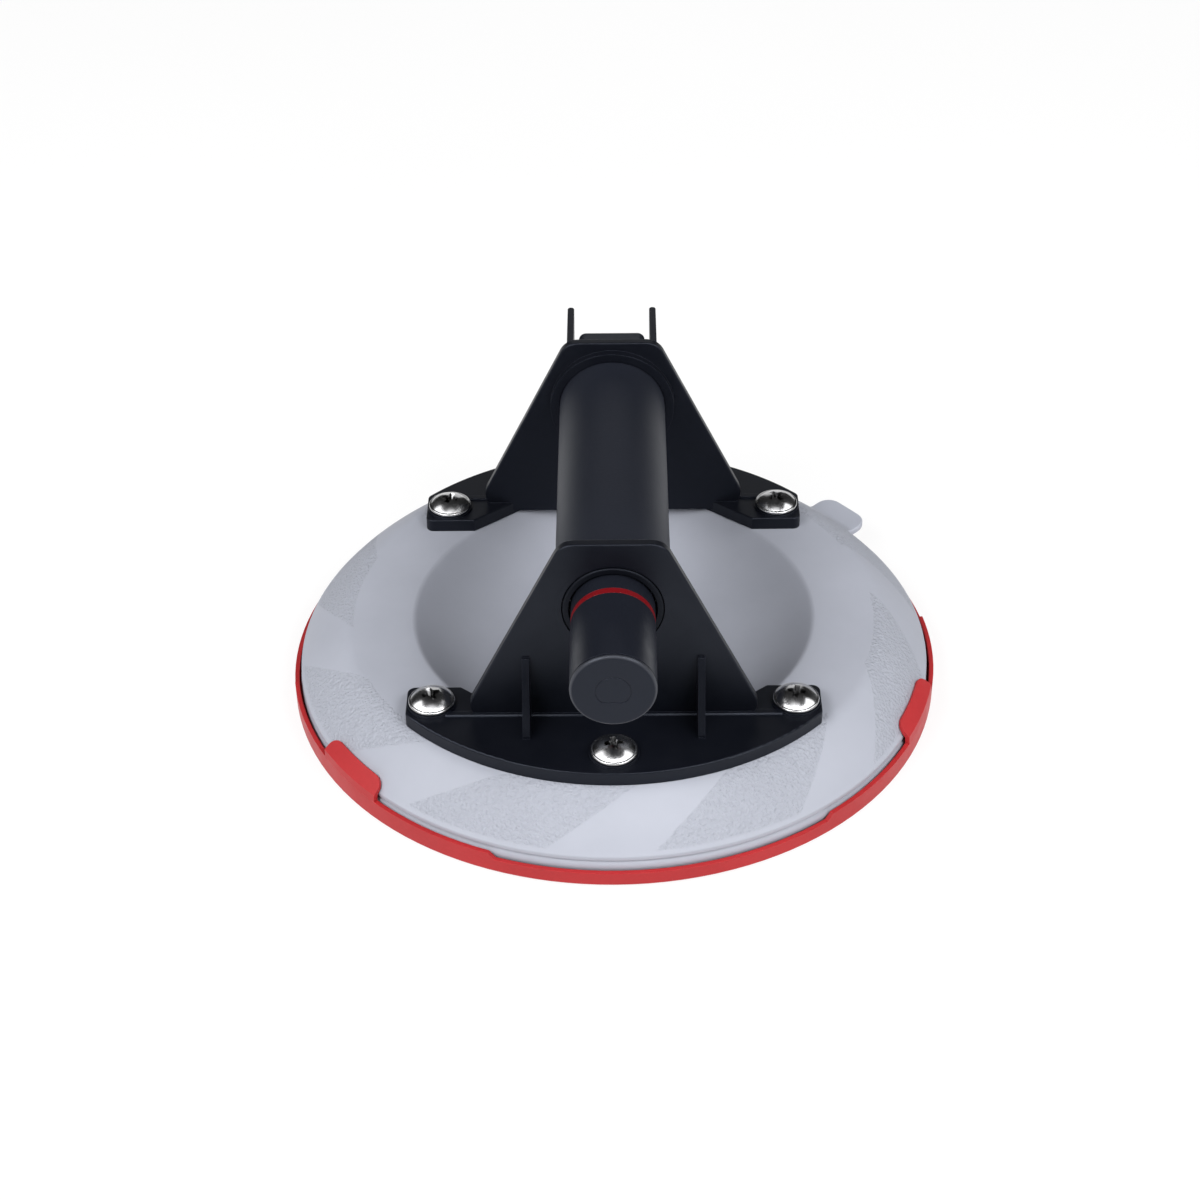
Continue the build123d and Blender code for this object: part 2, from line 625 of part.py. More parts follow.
SPRING_WIRE_R = 0.8
SPRING_R = 9.3
SPRING = (PISTON[1] - SPRING_SEAT + SPRING_WIRE_R + 0.1, PLUG[0] - SPRING_WIRE_R - 0.1)
with BuildPart() as return_spring:
    with BuildLine():
        coil = Helix(
            pitch=(SPRING[1] - SPRING[0]) / 9, height=SPRING[1] - SPRING[0], radius=SPRING_R,
            center=(0, SPRING[0], HANDLE_Z), direction=(0, 1, 0),
        )
    with BuildSketch(Plane(coil @ 0, z_dir=coil % 0)):
        Circle(SPRING_WIRE_R)
    sweep(is_frenet=True)
save(return_spring, "return_spring")
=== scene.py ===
import math

import bmesh
import bpy
from mathutils import Matrix, Vector


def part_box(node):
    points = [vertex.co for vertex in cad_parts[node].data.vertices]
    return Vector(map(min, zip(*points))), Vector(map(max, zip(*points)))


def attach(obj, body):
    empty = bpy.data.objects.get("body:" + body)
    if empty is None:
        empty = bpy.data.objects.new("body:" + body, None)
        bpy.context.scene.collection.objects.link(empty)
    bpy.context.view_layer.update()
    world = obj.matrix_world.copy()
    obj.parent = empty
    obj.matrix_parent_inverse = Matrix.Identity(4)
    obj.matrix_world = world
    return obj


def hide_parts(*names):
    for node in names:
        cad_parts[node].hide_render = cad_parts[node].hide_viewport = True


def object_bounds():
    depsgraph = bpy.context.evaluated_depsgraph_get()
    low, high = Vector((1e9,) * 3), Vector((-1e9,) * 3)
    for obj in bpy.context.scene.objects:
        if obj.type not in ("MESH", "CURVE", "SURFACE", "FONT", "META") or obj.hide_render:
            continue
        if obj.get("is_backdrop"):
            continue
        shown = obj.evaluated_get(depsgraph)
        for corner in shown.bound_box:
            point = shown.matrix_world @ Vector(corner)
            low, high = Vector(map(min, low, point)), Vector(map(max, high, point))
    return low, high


# Looks of the pump-action suction lifter in its pad cover. Metres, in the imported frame:
# the pad's axis is Z, the handle lies along Y and the plunger comes out towards -Y.
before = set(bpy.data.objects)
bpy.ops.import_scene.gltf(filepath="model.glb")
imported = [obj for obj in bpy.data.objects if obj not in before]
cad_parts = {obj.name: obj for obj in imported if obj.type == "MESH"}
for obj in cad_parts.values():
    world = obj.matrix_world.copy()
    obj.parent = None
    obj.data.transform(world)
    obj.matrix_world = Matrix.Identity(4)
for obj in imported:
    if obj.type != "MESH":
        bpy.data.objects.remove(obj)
cad_low, cad_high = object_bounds()

MM = 0.001
WHITE = (1.0, 1.0, 1.0)
sleeve_low, sleeve_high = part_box("plunger_sleeve")
HANDLE_Z = (sleeve_low.z + sleeve_high.z) / 2
PLUNGER_R = (sleeve_high.z - sleeve_low.z) / 2


# --- meshes ---------------------------------------------------------------------------------
def arc(centre, radius, start, end, steps):
    """Points of an arc about centre, with the angles in degrees, both ends included."""
    points = []
    for i in range(steps + 1):
        angle = math.radians(start + (end - start) * i / steps)
        points.append((centre[0] + radius * math.cos(angle), centre[1] + radius * math.sin(angle)))
    return points


def straight(start, end, steps):
    """Points along a line, without its first end."""
    shares = [(i + 1) / steps for i in range(steps)]
    return [(start[0] + (end[0] - start[0]) * s, start[1] + (end[1] - start[1]) * s) for s in shares]


def revolved(outline, segments):
    """A solid of revolution about Z from an (r, z) outline that starts and ends on the axis."""
    bm = bmesh.new()
    turns = [2 * math.pi * i / segments for i in range(segments)]
    rings = []
    for r, z in outline:
        if r < 1e-7:
            rings.append([bm.verts.new((0, 0, z))])
        else:
            rings.append([bm.verts.new((r * math.cos(a), r * math.sin(a), z)) for a in turns])
    for low, high in zip(rings, rings[1:]):
        for i in range(segments):
            j = (i + 1) % segments
            corners = (low[i % len(low)], low[j % len(low)], high[j % len(high)], high[i % len(high)])
            bm.faces.new(list(dict.fromkeys(corners)))
    bmesh.ops.recalc_face_normals(bm, faces=bm.faces)
    return bm


def lofted(rings):
    """A closed skin over rings of (x, y, z) points, each ring with the same number of them."""
    bm = bmesh.new()
    loops = [[bm.verts.new(point) for point in ring] for ring in rings]
    bm.faces.new(loops[0][::-1])
    bm.faces.new(loops[-1])
    for low, high in zip(loops, loops[1:]):
        for i in range(len(low)):
            j = (i + 1) % len(low)
            bm.faces.new((low[i], low[j], high[j], high[i]))
    bmesh.ops.recalc_face_normals(bm, faces=bm.faces)
    return bm


def tapered_prism(bottom, top, low, high):
    """A closed prism between two outlines with the same number of (x, y) points."""
    return lofted([[(x, y, low) for x, y in bottom], [(x, y, high) for x, y in top]])


def solid(name, bm, place=None):
    """A mesh object from a bmesh, which is used up."""
    mesh = bpy.data.meshes.new(name)
    bm.to_mesh(mesh)
    bm.free()
    if place is not None:
        mesh.transform(place)
    piece = bpy.data.objects.new(name, mesh)
    bpy.context.scene.collection.objects.link(piece)
    return piece


def settle(piece):
    """Put the result of a piece's modifiers into its mesh."""
    bpy.context.view_layer.update()
    evaluated = piece.evaluated_get(bpy.context.evaluated_depsgraph_get())
    mesh = bpy.data.meshes.new_from_object(evaluated)
    piece.modifiers.clear()
    piece.data = mesh


def combine(piece, tool, operation):
    """Join tool to piece or cut it out of piece, and use tool up."""
    modifier = piece.modifiers.new("combine", "BOOLEAN")
    modifier.object = tool
    modifier.operation = operation
    modifier.solver = "EXACT"
    settle(piece)
    bpy.data.objects.remove(tool)


def smooth(piece, sharp_angle):
    """Shade a piece smooth, with creases where its faces meet at more than sharp_angle degrees."""
    piece.data.shade_smooth()
    piece.data.set_sharp_from_angle(angle=math.radians(sharp_angle))


def circle(radius, count, centre=(0.0, 0.0)):
    """Points of a full circle."""
    return arc(centre, radius, 0, 360 * (count - 1) / count, count - 1)


# --- materials ------------------------------------------------------------------------------
FLOOR_GLOW = 0.84
COOL = (0.74, 0.82, 1.0)            # the black mouldings shine a little blue
RIM_HIGHLIGHT_PAINT = (0.042, 0.044, 0.052)      # painted highlight: a paler black round the plunger's front rim, standing in for its shine
RIM_HIGHLIGHT_DEPTH = (0.9 * MM, 0.4 * MM)     # depth under the plunger's side where the painted rim highlight begins, and is full
RIM_HIGHLIGHT_FACE = (0.6 * MM, 1.1 * MM)    # distance from its face where the painted rim highlight is still full, and has ended

# The pad's stippled bands lean back as they run outwards. TEXTURE_ sizes are in millimetres.
BAND_COUNT = 8
BAND_SHARE = 0.6                    # how much of each step round the pad is stippled
BAND_SLANT = math.radians(1.05) / MM
BAND_START = 0.5                    # the step's phase towards +X, before the slant
BAND_SOFT = 0.012
TEXTURE_IN = 83.7
TEXTURE_OUT = 101.0
TEXTURE_LOW = 8.8                   # no stipple below this height
TEXTURE_SOFT = 0.5                  # width over which it fades in and out
STIPPLE_DEPTH = 0.30 * MM
PAD_DARK = (0.376, 0.393, 0.452)
PAD_LIGHT = (0.420, 0.438, 0.502)


def new_material(name):
    """A material and its principled shader."""
    material = bpy.data.materials.new(name)
    material.use_nodes = True
    return material, material.node_tree, material.node_tree.nodes["Principled BSDF"]


def node(tree, kind, *links, **settings):
    """Add a shader node: settings are its properties, and links are (input, value or socket) pairs."""
    made = tree.nodes.new("ShaderNode" + kind)
    for key, value in settings.items():
        setattr(made, key, value)
    for socket, value in links:
        if isinstance(value, bpy.types.NodeSocket):
            tree.links.new(value, made.inputs[socket])
        else:
            made.inputs[socket].default_value = value
    return made


def coordinates(tree):
    """The piece's own coordinates in metres, so that the pattern moves with it."""
    return node(tree, "TexCoord").outputs["Object"]


def math_node(tree, operation, first, second=0.0, third=0.0):
    """The result of one arithmetic step."""
    made = node(tree, "Math", (0, first), (1, second), (2, third), operation=operation)
    return made.outputs[0]


def noise(tree, place, scale, detail=3.0, roughness=0.5):
    """Noise with scale in features per metre."""
    links = (("Vector", place), ("Scale", scale), ("Detail", detail), ("Roughness", roughness))
    return node(tree, "TexNoise", *links).outputs["Fac"]


def ranged(tree, value, low, high, from_low=0.3, from_high=0.7):
    """Map a value from one range to another, clamped."""
    links = ((0, value), (1, from_low), (2, from_high), (3, low), (4, high))
    return node(tree, "MapRange", *links).outputs[0]


def blended(tree, factor, first, second):
    """A mix of two colours."""
    made = node(tree, "Mix", ("Factor", factor), data_type="RGBA")
    for socket, value in ((6, first), (7, second)):
        if isinstance(value, bpy.types.NodeSocket):
            tree.links.new(value, made.inputs[socket])
        else:
            made.inputs[socket].default_value = (*value, 1.0)
    return made.outputs[2]


def tinted(colour, factor):
    """A colour made lighter or darker."""
    return tuple(min(1.0, c * factor) for c in colour)


def bump(tree, height, depth, normal=None):
    """A bump of that depth in metres."""
    made = node(tree, "Bump", ("Height", height), ("Distance", depth), ("Strength", 1.0))
    if normal is not None:
        tree.links.new(normal, made.inputs["Normal"])
    return made.outputs["Normal"]


def soft_edges(tree, radius):
    """A normal that rounds the edges off, and how strongly each spot is an edge."""
    rounded = node(tree, "Bevel", ("Radius", radius), samples=4).outputs[0]
    true_normal = node(tree, "NewGeometry").outputs["Normal"]
    alike = node(tree, "VectorMath", (0, rounded), (1, true_normal), operation="DOT_PRODUCT")
    return rounded, ranged(tree, alike.outputs["Value"], 1.0, 0.0, 0.90, 0.995)


def painted_rim_highlight(tree, place, front_y):
    """How strongly each spot on the rounded front rim of the plunger, whose face is at front_y, gets
    the painted highlight.
    """
    axes = node(tree, "SeparateXYZ", (0, place)).outputs
    above = math_node(tree, "SUBTRACT", axes[2], HANDLE_Z)
    off_axis = node(tree, "CombineXYZ", (0, axes[0]), (1, above)).outputs[0]
    radius = node(tree, "VectorMath", (0, off_axis), operation="LENGTH").outputs["Value"]
    outer = ranged(tree, radius, 0.0, 1.0, PLUNGER_R - RIM_HIGHLIGHT_DEPTH[0], PLUNGER_R - RIM_HIGHLIGHT_DEPTH[1])
    front = ranged(tree, axes[1], 1.0, 0.0, front_y + RIM_HIGHLIGHT_FACE[0], front_y + RIM_HIGHLIGHT_FACE[1])
    return math_node(tree, "MULTIPLY", outer, front)


def moulded(name, colour, roughness, grain=0.0, edge_light=1.6, gloss=0.5, tint=WHITE, highlight_rim_y=None):
    """Moulded plastic: faint flow marks, a fine skin, edges painted paler (partly rubbed wear, partly
    painted highlight) and, given highlight_rim_y, a painted highlight on the plunger's rim.
    """
    material, tree, shader = new_material(name)
    place = coordinates(tree)
    flow = noise(tree, place, 28.0, 4.0, 0.55)
    specks = noise(tree, place, 900.0, 2.0)
    body = blended(tree, ranged(tree, flow, 0.0, 1.0), tinted(colour, 0.92), tinted(colour, 1.08))
    body = blended(tree, ranged(tree, specks, 0.0, 0.12), body, tinted(colour, 1.5))
    rounded, edge = soft_edges(tree, 0.3 * MM)
    # edges painted paler: partly rubbed wear, partly a painted highlight that makes the edges catch
    # light
    edge_wear_and_highlight = math_node(tree, "MULTIPLY", edge, ranged(tree, noise(tree, place, 260.0), 0.2, 0.8))
    body = blended(tree, edge_wear_and_highlight, body, tinted(colour, edge_light))
    # painted highlight: the plunger's front rim is given a paler colour so that it catches light
    if highlight_rim_y is not None:
        body = blended(tree, painted_rim_highlight(tree, place, highlight_rim_y), body, RIM_HIGHLIGHT_PAINT)
    tree.links.new(body, shader.inputs["Base Color"])
    finish = noise(tree, place, 120.0, 5.0, 0.6)
    tree.links.new(ranged(tree, finish, roughness - 0.05, roughness + 0.07), shader.inputs["Roughness"])
    skin = noise(tree, place, 2600.0, 2.0)
    normal = bump(tree, skin, (0.012 + grain) * MM, rounded)
    tree.links.new(normal, shader.inputs["Normal"])
    shader.inputs["Specular IOR Level"].default_value = gloss
    shader.inputs["Specular Tint"].default_value = (*tint, 1.0)
    return material


def pad_rubber():
    """Grey rubber with slanting stippled bands round the skirt, smooth between them and on the ring."""
    material, tree, shader = new_material("pad_rubber")
    place = coordinates(tree)
    axes = node(tree, "SeparateXYZ", (0, place)).outputs
    level = node(tree, "CombineXYZ", (0, axes[0]), (1, axes[1])).outputs[0]
    radius = node(tree, "VectorMath", (0, level), operation="LENGTH").outputs["Value"]
    turn = math_node(tree, "ARCTAN2", axes[1], axes[0])
    slanted = math_node(tree, "MULTIPLY_ADD", radius, BAND_SLANT, turn)
    bands = math_node(tree, "MULTIPLY_ADD", slanted, BAND_COUNT / (2 * math.pi), BAND_START)
    phase = math_node(tree, "FRACT", bands)
    begins = ranged(tree, phase, 0.0, 1.0, 0.0, BAND_SOFT)
    ends = ranged(tree, phase, 1.0, 0.0, BAND_SHARE - BAND_SOFT, BAND_SHARE)
    outside = ranged(tree, radius, 0.0, 1.0, TEXTURE_IN * MM, (TEXTURE_IN + TEXTURE_SOFT) * MM)
    inside = ranged(tree, radius, 1.0, 0.0, (TEXTURE_OUT - TEXTURE_SOFT) * MM, TEXTURE_OUT * MM)
    upper = ranged(tree, axes[2], 0.0, 1.0, TEXTURE_LOW * MM, (TEXTURE_LOW + TEXTURE_SOFT) * MM)
    stippled = begins
    for limit in (ends, outside, inside, upper):
        stippled = math_node(tree, "MULTIPLY", stippled, limit)
    cells = node(tree, "TexVoronoi", ("Vector", place), ("Scale", 1050.0), feature="SMOOTH_F1")
    pimples = ranged(tree, cells.outputs["Distance"], 1.0, 0.0, 0.1, 0.75)
    pimples = math_node(tree, "MULTIPLY_ADD", noise(tree, place, 1700.0, 1.0), 0.9, pimples)
    # a bloom over the whole moulding, and a little dust in the stipple's hollows
    clouds = noise(tree, place, 22.0, 5.0, 0.6)
    rubber = blended(tree, ranged(tree, clouds, 0.0, 1.0), PAD_DARK, PAD_LIGHT)
    dusty = math_node(tree, "MULTIPLY", stippled, ranged(tree, pimples, 0.85, 0.2, 0.5, 1.5))
    rubber = blended(tree, dusty, rubber, tinted(PAD_DARK, 0.96))
    tree.links.new(rubber, shader.inputs["Base Color"])
    finish = ranged(tree, noise(tree, place, 90.0, 4.0), 0.50, 0.60)
    finish = math_node(tree, "MULTIPLY_ADD", stippled, 0.12, finish)
    tree.links.new(finish, shader.inputs["Roughness"])
    height = math_node(tree, "MULTIPLY", stippled, math_node(tree, "SUBTRACT", pimples, 1.0))
    raised = bump(tree, height, STIPPLE_DEPTH)
    skin = bump(tree, noise(tree, place, 700.0, 3.0), 0.012 * MM, raised)
    tree.links.new(skin, shader.inputs["Normal"])
    shader.inputs["Specular IOR Level"].default_value = 0.4
    return material


def metal(name, colour, roughness, scratch=0.004 * MM, stretch=(1.0, 1.0, 1.0)):
    """Bare or plated metal with fine lines along the direction that stretch makes long, and painted
    shade darkening its hollows.
    """
    material, tree, shader = new_material(name)
    place = coordinates(tree)
    lines_at = node(tree, "Mapping", ("Vector", place), ("Scale", stretch)).outputs[0]
    lines = noise(tree, lines_at, 2400.0, 4.0, 0.6)
    stains = noise(tree, place, 160.0, 4.0, 0.6)
    body = blended(tree, ranged(tree, stains, 0.0, 1.0), tinted(colour, 0.90), colour)
    # painted shade: ambient occlusion darkens the base colour in the screw recesses and other hollows
    ao_for_painted_shade = node(tree, "AmbientOcclusion", ("Distance", 1.6 * MM), samples=8).outputs["AO"]
    body = blended(tree, ranged(tree, ao_for_painted_shade, 0.0, 1.0, 0.42, 0.92), tinted(colour, 0.06), body)
    tree.links.new(body, shader.inputs["Base Color"])
    tree.links.new(ranged(tree, stains, roughness * 0.8, roughness * 1.5), shader.inputs["Roughness"])
    tree.links.new(bump(tree, lines, scratch), shader.inputs["Normal"])
    shader.inputs["Metallic"].default_value = 1.0
    return material


def rubber_seal(name, colour):
    """Smooth moulded seal rubber with a dull bloom."""
    material, tree, shader = new_material(name)
    place = coordinates(tree)
    bloom = noise(tree, place, 240.0, 5.0, 0.65)
    tree.links.new(
        blended(tree, ranged(tree, bloom, 0.0, 1.0), tinted(colour, 0.8), tinted(colour, 1.5)),
        shader.inputs["Base Color"],
    )
    tree.links.new(ranged(tree, bloom, 0.42, 0.6), shader.inputs["Roughness"])
    tree.links.new(bump(tree, noise(tree, place, 1800.0), 0.01 * MM), shader.inputs["Normal"])
    return material


def felt(name, colour):
    """Sintered filter disc: a mass of small grains."""
    material, tree, shader = new_material(name)
    place = coordinates(tree)
    grains = node(tree, "TexVoronoi", ("Vector", place), ("Scale", 2200.0)).outputs["Distance"]
    tree.links.new(
        blended(tree, ranged(tree, grains, 0.0, 1.0, 0.0, 0.7), colour, tinted(colour, 0.6)),
        shader.inputs["Base Color"],
    )
    tree.links.new(bump(tree, grains, -0.15 * MM), shader.inputs["Normal"])
    shader.inputs["Roughness"].default_value = 0.9
    return material


def coated_tube(name, colour):
    """Matt coating on the handle: a fine orange-peel skin, polished a little where it is held."""
    material, tree, shader = new_material(name)
    place = coordinates(tree)
    axes = node(tree, "SeparateXYZ", (0, place)).outputs
    clouds = noise(tree, place, 35.0, 4.0, 0.6)
    specks = noise(tree, place, 1500.0, 2.0)
    body = blended(tree, ranged(tree, clouds, 0.0, 1.0), tinted(colour, 0.93), tinted(colour, 1.07))
    body = blended(tree, ranged(tree, specks, 0.0, 0.22, 0.45, 0.75), body, tinted(colour, 1.7))
    tree.links.new(body, shader.inputs["Base Color"])
    held = ranged(tree, math_node(tree, "ABSOLUTE", axes[1]), 0.46, 0.54, 20 * MM, 45 * MM)
    tree.links.new(math_node(tree, "MULTIPLY_ADD", clouds, 0.10, held), shader.inputs["Roughness"])
    peel = bump(tree, noise(tree, place, 1100.0, 3.0, 0.6), 0.03 * MM)
    tree.links.new(peel, shader.inputs["Normal"])
    shader.inputs["Specular IOR Level"].default_value = 0.4
    shader.inputs["Specular Tint"].default_value = (*COOL, 1.0)
    return material


def floor_material():
    """Plain pale studio floor that keeps an even tone and takes only a faint shadow."""
    material, tree, shader = new_material("studio_floor")
    patches = noise(tree, coordinates(tree), 3.0)
    paper = blended(tree, ranged(tree, patches, 0.0, 1.0), (0.17, 0.17, 0.17), (0.18, 0.18, 0.18))
    tree.links.new(paper, shader.inputs["Base Color"])
    shader.inputs["Emission Color"].default_value = (1.0, 1.0, 1.0, 1.0)
    shader.inputs["Emission Strength"].default_value = FLOOR_GLOW
    shader.inputs["Roughness"].default_value = 0.9
    shader.inputs["Specular IOR Level"].default_value = 0.0
    return material


rubber = pad_rubber()
red = moulded("cover_red", (0.42, 0.022, 0.025), 0.45, grain=0.01, gloss=0.26)
# edge_light 3.5: the brackets' edges are painted much paler, mostly as painted highlight along them
BRACKET_SKIN = {"grain": 0.006, "edge_light": 3.5, "tint": COOL}
black = moulded("bracket_black", (0.0032, 0.0038, 0.0066), 0.40, gloss=0.30, **BRACKET_SKIN)
# painted highlight: the duct cover gets a lighter black than the brackets, so that its top, which faces
# the light, reads lighter
duct_black_painted_light = moulded("duct_black_painted_light", (0.0090, 0.0100, 0.0140), 0.40, gloss=0.45, **BRACKET_SKIN)
gland_black = moulded("gland_black", (0.0026, 0.0030, 0.0050), 0.45, gloss=0.2, tint=COOL)
PLUNGER_SKIN = {"grain": 0.008, "tint": COOL}
sleeve_black = moulded("plunger_black", (0.0105, 0.0120, 0.0180), 0.36, gloss=0.22, **PLUNGER_SKIN)
# the cap carries the painted rim highlight
cap_black = moulded(
    "cap_black", (0.0070, 0.0082, 0.0130), 0.34, gloss=0.26,
    highlight_rim_y=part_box("plunger_cap")[0].y, **PLUNGER_SKIN,
)
tube_black = coated_tube("tube_black", (0.0072, 0.0084, 0.0140))
indicator = moulded("indicator_red", (0.175, 0.004, 0.007), 0.34, gloss=0.35)
pump_grey = moulded("pump_grey", (0.35, 0.36, 0.38), 0.40)
bearing = moulded("bearing_white", (0.72, 0.71, 0.67), 0.32)
chrome = metal("screw_chrome", (0.55, 0.55, 0.56), 0.20)
zinc = metal("zinc_plate", (0.62, 0.63, 0.64), 0.30, scratch=0.01 * MM, stretch=(1.0, 1.0, 0.1))
brass = metal("turned_brass", (0.78, 0.58, 0.26), 0.22, stretch=(0.2, 0.2, 3.0))
wire = metal("spring_wire", (0.58, 0.58, 0.57), 0.28, stretch=(1.0, 0.2, 1.0))
seal = rubber_seal("seal_rubber", (0.022, 0.022, 0.023))
filter_grain = felt("filter_grain", (0.78, 0.78, 0.74))

CAD_LOOKS = {
    "protective_cover": red,
    "cover_clips": red,
    "backing_ring": zinc,
    "threaded_inserts": brass,
    "front_bracket": black,
    "rear_bracket": black,
    "handle_tube": tube_black,
    "pump_barrel": pump_grey,
    "barrel_gland": gland_black,
    "guide_bush": bearing,
    "barrel_end_plug": pump_grey,
    "end_plug_o_ring": seal,
    "inlet_valve": seal,
    "plunger_sleeve": sleeve_black,
    "plunger_cap": cap_black,
    "vacuum_indicator_ring": indicator,
    "piston_head": pump_grey,
    "piston_seal": seal,
    "exhaust_valve": seal,
    "return_spring": wire,
    "duct_cover": duct_black_painted_light,
    "duct_gasket": seal,
    "duct_screws": chrome,
    "port_nozzle": brass,
    "air_filter": filter_grain,
}
for name, look in CAD_LOOKS.items():
    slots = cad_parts[name].data.materials
    slots.clear()
    slots.append(look)

# --- suction pad ----------------------------------------------------------------------------
# Sizes are in millimetres.
pad_low, pad_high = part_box("suction_pad")
PAD_TOP = pad_high.z / MM
PAD_BASE = pad_low.z / MM
LIP_R = -pad_low.x / MM
DISH_R = 64.4
DISH_DEPTH = 12.0
DISH_POWER = 4.5
DISH_SOFT = 0.9            # how far the dish's edge is rounded on to the ring
SHOULDER_R = 86.3
SHOULDER_SOFT = 2.2
SKIRT_BULGE = 1.0
SKIRT_STEPS = 16
RIM_R = LIP_R - 0.3
RIM_TOP = 9.6
RIM_SOFT = 0.9
GROOVE_Z = 7.9             # fine groove round the rim
GROOVE_DEPTH = 0.75
LIP_SOFT = 3.0
LIP_CENTRE_Z = 5.4
LIP_FOOT_R = LIP_R - 2.6   # the lip's flat underside runs from here in to its heel
LIP_HEEL_R = 89.0
LIP_HEEL_TOP = (87.0, 3.4)
SEALING_GROOVES = (98.0, 95.0, 92.0)
SEALING_GROOVE_DEPTH = 0.6
WALL = 5.3
UNDERCUT_R = 84.9
UNDERCUT_RISE = 3.0
RIM_LIFT = 1.6             # how far the rim is bent up at the very back, fading to the sides
TAB_ANGLE = 41.2
TAB_REACH = 109.8
TAB_HALF = 10.0
TAB_CORNER = 5.5
TAB_ROOT = 3.6             # how far its root runs in under the skirt
TAB_SECTION = ((0.4, -1.1), (0.0, -0.7), (0.0, 0.6), (0.5, 1.1))    # inset, height over RIM_TOP
TAB_BLEND = 0.112          # how fast the tab curves up into the skirt
TAB_BLEND_R = RIM_R + 1.3  # where it starts to
TAB_GRID = (0.7, 2.5)      # spacing of the cuts that let it bend, along it and across it
PORT = (0.0, 61.5)
PORT_BOSS_R = 4.5
PORT_HOLE_R = 2.6
SIDE_SCREW = (55.5, 52.3)
MIDDLE_SCREW = (0.0, 75.9)
SCREW_HOLE_R = 3.2


def screw_places(side):
    """The three screws of one bracket in millimetres: side is -1 at the front and 1 at the rear."""
    x, y = SIDE_SCREW
    return [(-x, side * y), (x, side * y), (MIDDLE_SCREW[0], side * MIDDLE_SCREW[1])]


def dish_curve(edge_r, edge_z, depth, steps):
    """A hollow's section from the axis out: level in the middle and steepest at its edge."""
    shares = [i / steps for i in range(steps + 1)]
    return [(edge_r * s, edge_z - depth * (1 - s ** DISH_POWER)) for s in shares]


def rounded_corner(before, corner, after, steps):
    """Points of a soft corner between two points either side of it."""
    handles = (before, corner, after)
    points = []
    for i in range(steps + 1):
        s = i / steps
        weights = ((1 - s) ** 2, 2 * s * (1 - s), s ** 2)
        points.append(tuple(sum(w * p[k] for w, p in zip(weights, handles)) for k in (0, 1)))
    return points


def pad_outline():
    """The pad's section from the axis out over the top, round the lip and back underneath."""
    dish = dish_curve(DISH_R, PAD_TOP, DISH_DEPTH, 48)
    edge = rounded_corner(dish[-2], (DISH_R, PAD_TOP), (DISH_R + DISH_SOFT, PAD_TOP), 5)
    # the skirt is a shallow arch between the shoulder and the rim
    skirt_start = Vector((SHOULDER_R, PAD_TOP))
    skirt_end = Vector((RIM_R - 0.5, RIM_TOP + 0.45))
    chord = skirt_end - skirt_start
    outward = Vector((-chord.y, chord.x)).normalized()
    skirt = []
    for i in range(2, SKIRT_STEPS + 1):
        s = i / SKIRT_STEPS
        skirt.append(tuple(skirt_start + chord * s + outward * (SKIRT_BULGE * 4 * s * (1 - s))))
    shoulder = rounded_corner((SHOULDER_R - SHOULDER_SOFT, PAD_TOP), tuple(skirt_start), skirt[0], 6)
    rim = arc((RIM_R - RIM_SOFT, RIM_TOP - 0.45), RIM_SOFT, 50, 0, 6)
    groove_r = RIM_R - GROOVE_DEPTH
    groove = [(RIM_R, GROOVE_Z + 0.4), (groove_r, GROOVE_Z + 0.12), (groove_r, GROOVE_Z - 0.12)]
    lip = arc((LIP_R - LIP_SOFT, LIP_CENTRE_Z), LIP_SOFT, 50, -58, 14)
    under = [(LIP_FOOT_R, PAD_BASE)]
    groove_top = PAD_BASE + SEALING_GROOVE_DEPTH
    for middle_r in SEALING_GROOVES:
        under += [
            (middle_r + 0.55, PAD_BASE), (middle_r + 0.3, groove_top),
            (middle_r - 0.3, groove_top), (middle_r - 0.55, PAD_BASE),
        ]
    under += [(LIP_HEEL_R, PAD_BASE), LIP_HEEL_TOP]
    ring_top = PAD_TOP - WALL
    hollow = [(UNDERCUT_R, ring_top - UNDERCUT_RISE), (UNDERCUT_R, ring_top)]
    belly = dish_curve(DISH_R - 2.0, ring_top, DISH_DEPTH - 1.0, 24)[::-1]
    flat = straight(edge[-1], shoulder[0], 8)[:-1]
    top = dish[:-2] + edge + flat + shoulder + skirt[1:-1]
    outline = top + rim + groove + lip + under + hollow + belly
    return [(max(r, 0.0) * MM, z * MM) for r, z in outline]


def release_tab():
    """The tab in its own frame, with X outwards: flat on top, curving up into the skirt at its root."""
    root = RIM_R - TAB_ROOT
    corner_x = TAB_REACH - TAB_CORNER
    corner_y = TAB_HALF - TAB_CORNER
    rings = []
    for inset, height in TAB_SECTION:
        z = RIM_TOP + height
        ring = [(root, inset - TAB_HALF)]
        ring += arc((corner_x, -corner_y), TAB_CORNER - inset, -90, 0, 8)
        ring += arc((corner_x, corner_y), TAB_CORNER - inset, 0, 90, 8)
        ring.append((root, TAB_HALF - inset))
        rings.append([(x * MM, y * MM, z * MM) for x, y in ring])
    bm = lofted(rings)
    # cut into a grid, so that it can bend
    along, sideways = TAB_GRID
    cuts = [(Vector((TAB_BLEND_R - along * k, 0, 0)), (1, 0, 0)) for k in range(7)]
    cuts += [(Vector((0, sideways * k, 0)), (0, 1, 0)) for k in range(-3, 4)]
    for place, across in cuts:
        everything = bm.verts[:] + bm.edges[:] + bm.faces[:]
        bmesh.ops.bisect_plane(bm, geom=everything, plane_co=place * MM, plane_no=across)
    for vert in bm.verts:
        rise = max(0.0, TAB_BLEND_R - math.hypot(vert.co.x, vert.co.y) / MM)
        if vert.co.z > RIM_TOP * MM:
            vert.co.z += TAB_BLEND * rise ** 2 * MM
    bmesh.ops.recalc_face_normals(bm, faces=bm.faces)
    return bm


